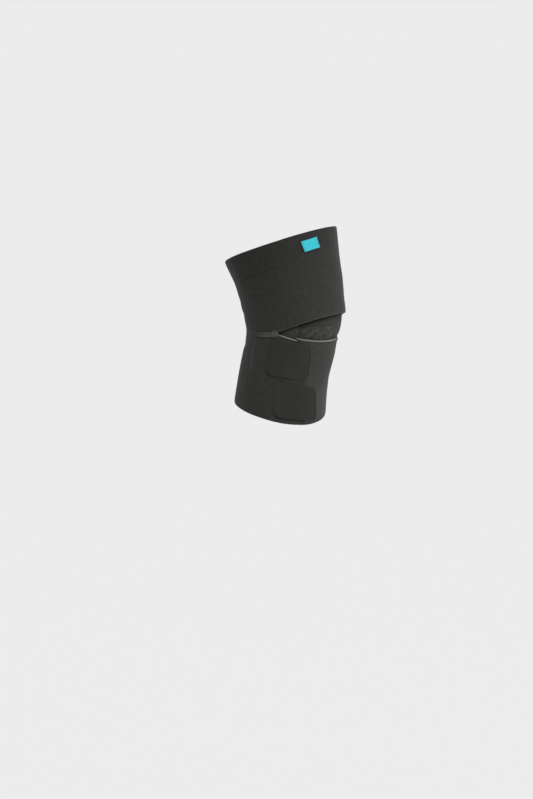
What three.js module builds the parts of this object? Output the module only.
// Adjustable knee wrap for a right leg, closed as it is worn, in millimetres.
// Two bands of laminated cloth are wound round the leg, one above and one below the knee.
// They meet in a seam behind the knee and part in front of it, where a slit shows the inner layer.
// +Z runs up the leg, -Y is the front of the knee and -X its outer side. The origin is the knee's centre.
// An angle round the leg is 0 at the front, 90 at the outer side, 180 at the back and -90 at the inner side.
import * as THREE from "three";

// Cloth
const WALL = 2.6; // laminated cloth of both bands
const GUSSET_WALL = 1.2; // stretch cloth behind the slit
const TAB_WALL = 1.5; // hook tape with its backing
const PAD_WALL = 1.0; // loop pad on the inner layer
const LABEL_WALL = 0.7; // folded woven label
const BARTACK_WALL = 1.0; // stitched bar at the end of the slit
const LAYER_GAP = 0.4; // air between two layers
const SEAT_GAP = 0.35; // air under what is sewn on
const GUSSET_GAP = 0.6; // air between the stretch cloth and the bands
const LAYER = WALL + LAYER_GAP;
const SEAT = GUSSET_WALL + GUSSET_GAP; // from the skin to the innermost band layer

// The leg inside the wrap, a level section in each row.
// forward moves the section's centre to the front, and squareness is a superellipse's power.
const LEG_SECTIONS = [
  { height: -135, forward: -22, halfDepth: 61, halfWidth: 57.5, squareness: 2.05 },
  { height: -98, forward: -20, halfDepth: 60.5, halfWidth: 57.5, squareness: 2.05 },
  { height: -64, forward: -15.5, halfDepth: 58.5, halfWidth: 56.5, squareness: 2.1 },
  { height: -30, forward: -8, halfDepth: 58, halfWidth: 56, squareness: 2.15 },
  { height: -12, forward: -4, halfDepth: 57, halfWidth: 56, squareness: 2.2 },
  { height: 6, forward: 0.5, halfDepth: 60.5, halfWidth: 58, squareness: 2.2 },
  { height: 32, forward: -1.5, halfDepth: 64.5, halfWidth: 62.5, squareness: 2.15 },
  { height: 66, forward: -8, halfDepth: 69, halfWidth: 67, squareness: 2.1 },
  { height: 100, forward: -19.5, halfDepth: 75.5, halfWidth: 71.5, squareness: 2.05 },
  { height: 165, forward: -34, halfDepth: 81.5, halfWidth: 77.5, squareness: 2 },
];

// Edges of the bands, as heights
const TOP_EDGE = { middle: 120.9, riseFront: 26.6, riseOuter: -1.2 };
const BOTTOM_EDGE = { middle: -106.6, riseFront: -11.9, riseOuter: -11.5 };
const BOTTOM_DIP = { depth: 3.3, angle: 13.4 }; // the lower edge waves twice round the leg
const SEAM_HEIGHT = 5; // the bands meet at this height behind the slit
const SEAM_DIP = { depth: 3, from: 84, lowFrom: 108, lowTo: 116, to: 150 }; // at angles of the outer side
const SLIT_END = 84.5; // the slit runs over the front from this angle to its mirror image
const SLIT_RISE = 23.5; // of the thigh band's lower edge at the front
const SLIT_BULGE = 0.88; // power under 1, with which that edge rises faster near the slit's ends
// Drop of the calf band's upper edge at the front. It changes from inner to outer between two angles.
const SLIT_DROP = { inner: 15.5, outer: 8.4, from: 325, to: 358 };
const FLARE = 2.4; // how far the thigh band's lower edge stands off over the kneecap
const FLARE_HEIGHT = 26;

// Thigh band, wound from its inner end past the inner side and the back, and once more over the front
const THIGH = { innerEnd: 56.5, outerEnd: -462.5, columns: 69, rows: 14, cornerRadius: 12 };
const THIGH_TUCK = { height: -20, from: -45, to: -89 }; // the inner layer's lower edge, under the calf band

// Calf band, wound from its inner end past the outer side and the back to its outer end
const CALF = { innerEnd: 10, outerEnd: 418, columns: 54, rows: 12 };
const CALF_SLANT = { angle: 23, power: 3, from: 355 }; // its outer end draws back below its upper corner
const CALF_LIFT = { from: -95, to: -23 }; // heights between which the calf band climbs over the tucked layer
const CALF_OVERLAP = { from: -28, to: 6 }; // angles between which its outer end climbs over its inner end
const CALF_TAPER = { angle: 13, least: 0.4 }; // the outer end thins to this share of the wall

// Angles between which an outer layer climbs over an inner one
const OUTER_SIDE_CLIMB = { from: 170, to: 70 };
const INNER_SIDE_CLIMB = { from: -112, to: -82 };

// Pieces sewn on. Their width runs round the leg, and middle and angle are their centre's.
// tilt is a tab's rise, or the bar's fall, towards the back, in mm for each mm. The label's is in degrees.
// slant is a tab's lean towards the front, in mm for each mm.
const TABS = [
  { name: "closure_tab_upper", width: 63, height: 53, middle: -30.5, angle: 61, tilt: 0.13, slant: 0.1 },
  { name: "closure_tab_lower", width: 67, height: 49, middle: -92.5, angle: 43.5, tilt: 0.15, slant: 0.07 },
];
const TAB_RADIUS = 11;
const TAB_GRID = { columns: 12, rows: 4 };
const TAB_STEP = { from: -14, to: 16 }; // distances past the outer end between which a tab comes down from it
const LABEL = { width: 27, height: 15, angle: 28.6, belowTop: 17.2, tilt: 11.3, columns: 4, rows: 2 };
const PAD = {
  from: 0.5, to: 55, top: 14.5, frontRadius: 18, endRadius: 12, overCalfEdge: 1.2, columns: 12, rows: 3,
};
const BARTACK = {
  from: 80.4, to: 108.2, middle: 2.6, height: 5.8, tilt: 0.13, radius: 2.5, columns: 6, rows: 1,
};
const GUSSET = { from: 38, to: 94, low: -16, high: 26, columns: 8, rows: 5 };

// Close grid lines, as shares of a band's height, of the pad's width and of a corner's radius
const BAND_ENDS = [0, 0.015, 0.04];
const PAD_ENDS = [0, 0.02, 0.06];
const CORNER_ENDS = [0, 0.07, 0.3, 0.62, 1];

const COLOURS = {
  cloth: { color: 0x2b2b2a, roughness: 0.95, metalness: 0 },
  hook: { color: 0x222221, roughness: 0.9, metalness: 0 },
  loop: { color: 0x333332, roughness: 1, metalness: 0 },
  gusset: { color: 0x232322, roughness: 0.95, metalness: 0 },
  thread: { color: 0x4a4a49, roughness: 0.85, metalness: 0 },
  label: { color: 0x35b4c4, roughness: 0.8, metalness: 0 },
};

const radians = THREE.MathUtils.degToRad;
const smooth = (from, to, x) => {
  const t = THREE.MathUtils.clamp((x - from) / (to - from), 0, 1);
  return t * t * (3 - 2 * t);
};

// The nearest turn of an angle, from -180 to 180
const wrapped = (angle) => THREE.MathUtils.euclideanModulo(angle + 180, 360) - 180;

// A section between the rows, on a smooth curve through each column
function sectionAt(height) {
  const last = LEG_SECTIONS.length - 2;
  const found = LEG_SECTIONS.findIndex((row) => row.height > height) - 1;
  const i = THREE.MathUtils.clamp(found, 0, last);
  const rows = [-1, 0, 1, 2].map((k) => LEG_SECTIONS[THREE.MathUtils.clamp(i + k, 0, last + 1)]);
  const t = (height - rows[1].height) / (rows[2].height - rows[1].height);
  const between = (column) => {
    const slope = (a, b) => (b[column] - a[column]) / (b.height - a.height || 1);
    const span = rows[2].height - rows[1].height;
    const m1 = slope(rows[0], rows[2]) * span;
    const m2 = slope(rows[1], rows[3]) * span;
    const [p1, p2] = [rows[1][column], rows[2][column]];
    return p1 + t * (m1 + t * (3 * (p2 - p1) - 2 * m1 - m2 + t * (2 * (p1 - p2) + m1 + m2)));
  };
  return {
    forward: between("forward"),
    halfDepth: between("halfDepth"),
    halfWidth: between("halfWidth"),
    squareness: between("squareness"),
  };
}

// A point on the leg's skin
function skin(angle, height) {
  const s = sectionAt(height);
  const [c, d] = [Math.cos(radians(angle)), Math.sin(radians(angle))];
  const power = (v) => Math.sign(v) * Math.abs(v) ** (2 / s.squareness);
  return new THREE.Vector3(-s.halfWidth * power(d), -(s.forward + s.halfDepth * power(c)), height);
}

// A point at a distance from the skin, along its normal
function off(angle, height, distance) {
  const step = 0.5;
  const round = skin(angle + step, height).sub(skin(angle - step, height));
  const up = skin(angle, height + step).sub(skin(angle, height - step));
  const normal = up.cross(round).normalize();
  return skin(angle, height).addScaledVector(normal, distance);
}

// Edges of the bands at an angle
const sloped = (edge, angle) =>
  edge.middle + edge.riseFront * Math.cos(radians(angle)) + edge.riseOuter * Math.sin(radians(angle));
const slitShare = (angle) => {
  const closed = Math.cos(radians(SLIT_END));
  return Math.max(0, (Math.cos(radians(angle)) - closed) / (1 - closed));
};
const thighTop = (angle) => sloped(TOP_EDGE, angle);
const seamAt = (angle) => {
  const a = wrapped(angle);
  const dip = smooth(SEAM_DIP.from, SEAM_DIP.lowFrom, a) * smooth(SEAM_DIP.to, SEAM_DIP.lowTo, a);
  return SEAM_HEIGHT - SEAM_DIP.depth * dip;
};
const thighFlapEdge = (angle) =>
  seamAt(angle) + LAYER_GAP / 2 + SLIT_RISE * slitShare(angle) ** SLIT_BULGE;
const calfTop = (angle) => {
  const overlapped = smooth(SLIT_DROP.from, SLIT_DROP.to, angle);
  const drop = THREE.MathUtils.lerp(SLIT_DROP.inner, SLIT_DROP.outer, overlapped);
  return seamAt(angle) - LAYER_GAP / 2 - drop * slitShare(angle);
};
const calfBottom = (angle) =>
  sloped(BOTTOM_EDGE, angle) - BOTTOM_DIP.depth * Math.cos(radians(2 * (angle - BOTTOM_DIP.angle)));

// How far the outer layers stand over the inner ones, as a share of one layer
function climb(angle) {
  const a = wrapped(angle);
  if (a >= 0) return smooth(OUTER_SIDE_CLIMB.from, OUTER_SIDE_CLIMB.to, a);
  return smooth(INNER_SIDE_CLIMB.from, INNER_SIDE_CLIMB.to, a);
}

// Thigh band: the distance of its inner face from the skin, and its lower edge
const isOuterTurn = (angle) => angle < -180;
function thighSeat(angle, height) {
  if (!isOuterTurn(angle)) return SEAT;
  const a = wrapped(angle);
  const share = a > 0 ? climb(a) : 1;
  const edge = thighFlapEdge(a);
  const flare = FLARE * slitShare(a) * smooth(edge + FLARE_HEIGHT, edge, height);
  return SEAT + LAYER * share + flare;
}
function thighBottom(angle) {
  if (isOuterTurn(angle)) return thighFlapEdge(angle);
  const tucked = smooth(THIGH_TUCK.to, THIGH_TUCK.from, angle);
  const seam = seamAt(angle) + LAYER_GAP / 2;
  return seam + (THIGH_TUCK.height - seam) * tucked;
}

// Calf band: the distance of its inner face from the skin, for its first layer and for its outer end
function calfFirstLayer(angle, height) {
  return SEAT + LAYER * climb(angle) * smooth(CALF_LIFT.from, CALF_LIFT.to, height);
}
function calfSeat(angle, height) {
  const overlap = angle > 270 ? smooth(CALF_OVERLAP.from, CALF_OVERLAP.to, angle - 360) : 0;
  return calfFirstLayer(angle, height) + LAYER * overlap;
}
const calfOuterEnd = (across) => CALF.outerEnd - CALF_SLANT.angle * (1 - across ** CALF_SLANT.power);

// A closed slab of cloth over a grid. place(u, v, depth) gives its inner face at depth 0 and its outer at 1.
// Seen from outside, u runs to the right and v runs up, unless mirrored.
function slab(us, vs, place, mirrored = false) {
  const [columns, rows] = [us.length, vs.length];
  const last = columns - 1;
  const points = [0, 1].flatMap((depth) => us.flatMap((u) => vs.map((v) => place(u, v, depth))));
  const at = (i, j, depth) => (depth * columns + i) * rows + j;
  const faces = [];
  const quad = (a, b, c, d) => {
    const turned = mirrored ? [d, c, b, a] : [a, b, c, d];
    faces.push(turned[0], turned[1], turned[2], turned[0], turned[2], turned[3]);
  };
  for (let i = 0; i + 1 < columns; i++) {
    for (let j = 0; j + 1 < rows; j++) {
      quad(at(i, j, 1), at(i + 1, j, 1), at(i + 1, j + 1, 1), at(i, j + 1, 1));
      quad(at(i, j, 0), at(i, j + 1, 0), at(i + 1, j + 1, 0), at(i + 1, j, 0));
    }
    quad(at(i, 0, 0), at(i + 1, 0, 0), at(i + 1, 0, 1), at(i, 0, 1));
    quad(at(i, rows - 1, 1), at(i + 1, rows - 1, 1), at(i + 1, rows - 1, 0), at(i, rows - 1, 0));
  }
  for (let j = 0; j + 1 < rows; j++) {
    quad(at(0, j, 0), at(0, j, 1), at(0, j + 1, 1), at(0, j + 1, 0));
    quad(at(last, j, 1), at(last, j, 0), at(last, j + 1, 0), at(last, j + 1, 1));
  }
  return new THREE.BufferGeometry().setFromPoints(points).setIndex(faces);
}

const spaced = (count) => Array.from({ length: count + 1 }, (_, i) => i / count);

// Close grid lines at both ends, and evenly spaced ones between them
function closeEnds(ends, count) {
  const edge = ends[ends.length - 1];
  const middle = spaced(count).slice(1, -1).map((share) => edge + share * (1 - 2 * edge));
  return [...ends, ...middle, ...ends.map((share) => 1 - share).reverse()];
}

// How far a rounded corner draws an end in, at a distance from the corner's edge
function cornerInset(radius, distance) {
  const d = THREE.MathUtils.clamp(distance, 0, radius);
  return radius - Math.sqrt(radius * radius - (radius - d) ** 2);
}

// Shares of a height, with close rows at both rounded ends
function roundedRows(height, radius, count) {
  return closeEnds(CORNER_ENDS.map((share) => (share * radius) / height), count);
}

function thighBand() {
  const place = (u, v, depth) => {
    const turn = THREE.MathUtils.lerp(THIGH.innerEnd, THIGH.outerEnd, u);
    const reach = thighTop(turn) - thighBottom(turn);
    const inset = cornerInset(THIGH.cornerRadius, Math.min(v, 1 - v) * reach);
    const angle = turn + (u === 1 ? THREE.MathUtils.radToDeg(inset / sectionAt(0).halfDepth) : 0);
    const height = THREE.MathUtils.lerp(thighBottom(angle), thighTop(angle), v);
    return off(angle, height, thighSeat(angle, height) + depth * WALL);
  };
  return slab(spaced(THIGH.columns), closeEnds(BAND_ENDS, THIGH.rows), place);
}

function calfBand() {
  const place = (u, v, depth) => {
    const turn = THREE.MathUtils.lerp(CALF.innerEnd, CALF.outerEnd, u);
    const slanted = Math.max(0, (turn - CALF_SLANT.from) / (CALF.outerEnd - CALF_SLANT.from));
    const angle = turn + (calfOuterEnd(v) - CALF.outerEnd) * slanted;
    const height = THREE.MathUtils.lerp(calfBottom(angle), calfTop(angle), v);
    const full = smooth(0, CALF_TAPER.angle, calfOuterEnd(v) - angle);
    const wall = WALL * THREE.MathUtils.lerp(CALF_TAPER.least, 1, full);
    return off(angle, height, calfSeat(angle, height) + depth * wall);
  };
  return slab(spaced(CALF.columns), spaced(CALF.rows), place, true);
}

// A tab lies half on the calf band's outer end and half on the layer under it
function closureTab(tab) {
  const degreesPerMm = THREE.MathUtils.radToDeg(1 / (sectionAt(tab.middle).halfDepth + LAYER + WALL));
  const place = (u, v, depth) => {
    const rise = (v - 0.5) * tab.height;
    const half = tab.width / 2 - cornerInset(TAB_RADIUS, Math.min(v, 1 - v) * tab.height);
    const along = (2 * u - 1) * half;
    const angle = tab.angle + (along + tab.slant * rise) * degreesPerMm;
    const height = tab.middle + rise + tab.tilt * along;
    const across = (height - calfBottom(angle)) / (calfTop(angle + 360) - calfBottom(angle));
    const pastEnd = (angle - (calfOuterEnd(across) - 360)) / degreesPerMm;
    const onEnd = LAYER * smooth(TAB_STEP.to, TAB_STEP.from, pastEnd);
    const seat = calfFirstLayer(angle, height) + onEnd + WALL + SEAT_GAP;
    return off(angle, height, seat + depth * TAB_WALL);
  };
  return slab(spaced(TAB_GRID.columns), roundedRows(tab.height, TAB_RADIUS, TAB_GRID.rows), place, true);
}

function label() {
  const top = thighTop(LABEL.angle);
  const radius = sectionAt(top - LABEL.belowTop).halfDepth + LAYER + WALL;
  const [c, s] = [Math.cos(radians(LABEL.tilt)), Math.sin(radians(LABEL.tilt))];
  const place = (u, v, depth) => {
    const along = (u - 0.5) * LABEL.width;
    const rise = (v - 0.5) * LABEL.height;
    const angle = LABEL.angle + THREE.MathUtils.radToDeg((along * c + rise * s) / radius);
    const height = top - LABEL.belowTop - along * s + rise * c;
    const seat = SEAT + LAYER + WALL + SEAT_GAP;
    return off(angle, height, seat + depth * LABEL_WALL);
  };
  return slab(spaced(LABEL.columns), spaced(LABEL.rows), place, true);
}

// The loop pad in the slit, on the thigh band's inner layer
function innerPad() {
  const place = (u, v, depth) => {
    const angle = THREE.MathUtils.lerp(PAD.from, PAD.to, u);
    const low = calfTop(angle) + PAD.overCalfEdge;
    const radius = sectionAt(0).halfDepth + SEAT + WALL;
    const frontInset = cornerInset(PAD.frontRadius, radians(angle - PAD.from) * radius);
    const endInset = cornerInset(PAD.endRadius, radians(PAD.to - angle) * radius);
    const high = PAD.top - Math.max(frontInset, endInset);
    const height = THREE.MathUtils.lerp(low, high, v);
    return off(angle, height, SEAT + WALL + SEAT_GAP + depth * PAD_WALL);
  };
  return slab(closeEnds(PAD_ENDS, PAD.columns), spaced(PAD.rows), place, true);
}

// The stitched bar that closes the slit's outer end, over both bands
function bartack() {
  const place = (u, v, depth) => {
    const rise = (v - 0.5) * BARTACK.height;
    const radius = sectionAt(0).halfDepth;
    const inset = cornerInset(BARTACK.radius, Math.min(v, 1 - v) * BARTACK.height);
    const insetAngle = THREE.MathUtils.radToDeg(inset / radius);
    const angle = THREE.MathUtils.lerp(BARTACK.from + insetAngle, BARTACK.to - insetAngle, u);
    const along = radians(angle - (BARTACK.from + BARTACK.to) / 2) * radius;
    const seat = SEAT + LAYER * climb(angle) + WALL + SEAT_GAP;
    return off(angle, BARTACK.middle + rise - BARTACK.tilt * along, seat + depth * BARTACK_WALL);
  };
  const rows = roundedRows(BARTACK.height, BARTACK.radius, BARTACK.rows);
  return slab(spaced(BARTACK.columns), rows, place, true);
}

// Stretch cloth behind the slit's outer end, inside both bands
function gusset() {
  const place = (u, v, depth) => {
    const angle = THREE.MathUtils.lerp(GUSSET.from, GUSSET.to, u);
    const height = THREE.MathUtils.lerp(GUSSET.low, GUSSET.high, v);
    return off(angle, height, depth * GUSSET_WALL);
  };
  return slab(spaced(GUSSET.columns), spaced(GUSSET.rows), place, true);
}

function piece(name, geometry, look) {
  geometry.computeVertexNormals();
  const mesh = new THREE.Mesh(geometry, new THREE.MeshStandardMaterial(COLOURS[look]));
  mesh.name = name;
  return mesh;
}

const kneeWrap = new THREE.Group();
kneeWrap.add(
  piece("thigh_band", thighBand(), "cloth"),
  piece("calf_band", calfBand(), "cloth"),
  piece("slit_gusset", gusset(), "gusset"),
  piece("inner_pad", innerPad(), "loop"),
  piece("slit_bartack", bartack(), "thread"),
  piece("label", label(), "label"),
  ...TABS.map((tab) => piece(tab.name, closureTab(tab), "hook")),
);

export default kneeWrap;
